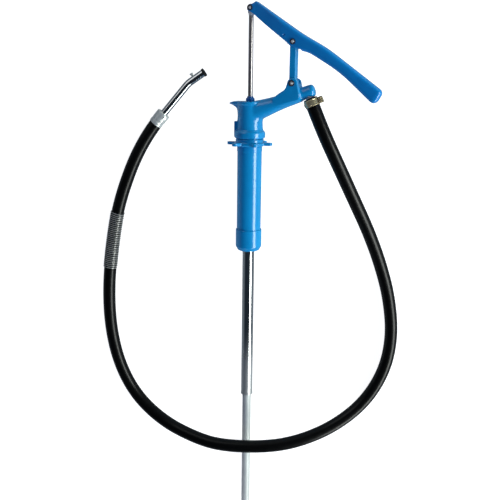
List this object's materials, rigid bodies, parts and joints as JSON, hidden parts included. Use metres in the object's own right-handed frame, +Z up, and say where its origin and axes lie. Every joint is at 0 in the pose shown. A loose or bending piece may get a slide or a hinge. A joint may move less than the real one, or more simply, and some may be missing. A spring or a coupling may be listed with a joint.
{
  "type": "drum barrel pump",
  "caption": "Lever-action barrel pump with a lugged bung ring, telescopic suction tube, discharge hose and bent spout, laid out on a flat surface.",
  "frame": {"origin": "middle of the pump's footprint on the surface that it lies on, the hose and spout not counted", "axes": "+Z up from the surface; +Y along the pump, from the suction tube's mouth to the rod's top; +X to the side that the discharge arm and the lever point to. The pump lies on its back as laid out for storage: its axis rises 2.41 degrees towards the head, and its arm is raised 14 degrees off the surface"},
  "size_m": [0.65, 1.1034, 0.1234],
  "materials": {
    "blue_enamel": "glossy stove enamel over a casting",
    "gland_blue": "glossy enamel, worn on the corners",
    "bright_zinc": "bright zinc plated tube, lightly scuffed",
    "satin_zinc": "satin zinc plated tube, paler and duller than the upper tube",
    "chrome_rod": "ground and hard chromed rod",
    "chrome_spout": "bright chrome plate",
    "zinc_fitting": "satin zinc plate",
    "yellow_zinc": "yellow passivated zinc plate",
    "black_clip": "black oxide spring steel",
    "steel_pin": "turned steel",
    "bronze_bush": "sintered bronze",
    "piston_alloy": "machined alloy",
    "ball_steel": "polished ball",
    "hose_rubber": "smooth black rubber cover, slight sheen",
    "spring_steel": "bright spring wire",
    "black_rubber": "matt black rubber",
    "seal_rubber": "nitrile rubber",
    "packing": "braided gland packing"
  },
  "bodies": {
    "pump": {"pump_head": "blue_enamel", "head_gasket": "seal_rubber", "barrel": "blue_enamel", "foot_cap": "blue_enamel", "foot_cap_seal": "seal_rubber", "valve_seat": "piston_alloy", "valve_cage": "piston_alloy", "upper_suction_tube": "bright_zinc", "telescope_bush": "bronze_bush", "telescope_seal": "seal_rubber", "gland_nut": "gland_blue", "gland_packing": "packing", "gland_washer": "steel_pin", "outlet_nipple": "steel_pin", "link_pin": "steel_pin", "link_pin_clips": "black_clip", "clamp_band": "yellow_zinc", "clamp_screws": "yellow_zinc", "clamp_nuts": "yellow_zinc", "hose": "hose_rubber", "hose_spring": "spring_steel", "nozzle_ferrule": "zinc_fitting", "ferrule_screw": "zinc_fitting", "nozzle_spout": "chrome_spout", "spout_hook": "zinc_fitting", "spout_tip_ring": "black_rubber"},
    "link": {"swing_link": "blue_enamel", "link_bushes": "bronze_bush"},
    "lever": {"lever": "blue_enamel", "lever_pivot_pin": "steel_pin", "lever_pivot_clips": "black_clip", "rod_pins": "steel_pin", "rod_pin_clips": "black_clip"},
    "rod": {"piston_rod": "chrome_rod", "rod_eye": "steel_pin", "piston_body": "piston_alloy", "piston_cup": "seal_rubber", "valve_stop": "steel_pin", "piston_retainer": "steel_pin", "piston_nut": "steel_pin"},
    "flap_valve": {"piston_valve": "seal_rubber"},
    "lower_tube": {"lower_suction_tube": "satin_zinc", "lower_tube_collar": "steel_pin"},
    "bung_ring": {"bung_ring": "blue_enamel"},
    "foot_ball": {"valve_ball": "ball_steel"}
  },
  "joints": [
    {"name": "lever_turn", "type": "hinge", "parent": "link", "child": "lever", "pos_m": [-0.01822, 0.4759, 0.07441], "axis": [-0.2419, -0.0409, 0.9694], "range_deg": [0, 71.11]},
    {"name": "link_swing", "type": "hinge", "parent": "pump", "child": "link", "pos_m": [-0.01725, 0.39896, 0.07141], "axis": [-0.2419, -0.0409, 0.9694], "range_deg": [0, 11.38]},
    {"name": "rod_slide", "type": "slide", "parent": "pump", "child": "rod", "axis": [0, -0.9991, -0.0421], "range_m": [0, 0.1451]},
    {"name": "tube_slide", "type": "slide", "parent": "pump", "child": "lower_tube", "axis": [0, 0.9991, 0.0421], "range_m": [0, 0.265]},
    {"name": "ring_turn", "type": "hinge", "parent": "pump", "child": "bung_ring", "pos_m": [-0.10487, 0.27599, 0.04436], "axis": [0, 0.9991, 0.0421], "continuous": true},
    {"name": "ball_lift", "type": "slide", "parent": "pump", "child": "foot_ball", "axis": [0, 0.9991, 0.0421], "range_m": [0, 0.005]},
    {"name": "flap_lift", "type": "slide", "parent": "rod", "child": "flap_valve", "axis": [0, 0.9991, 0.0421], "range_m": [0, 0.003]}
  ],
  "couplings": [
    {"joint": "link_swing", "follows": "lever_turn", "ratio": 0.15988},
    {"joint": "rod_slide", "follows": "lever_turn", "m_per_rad": 0.11682}
  ]
}
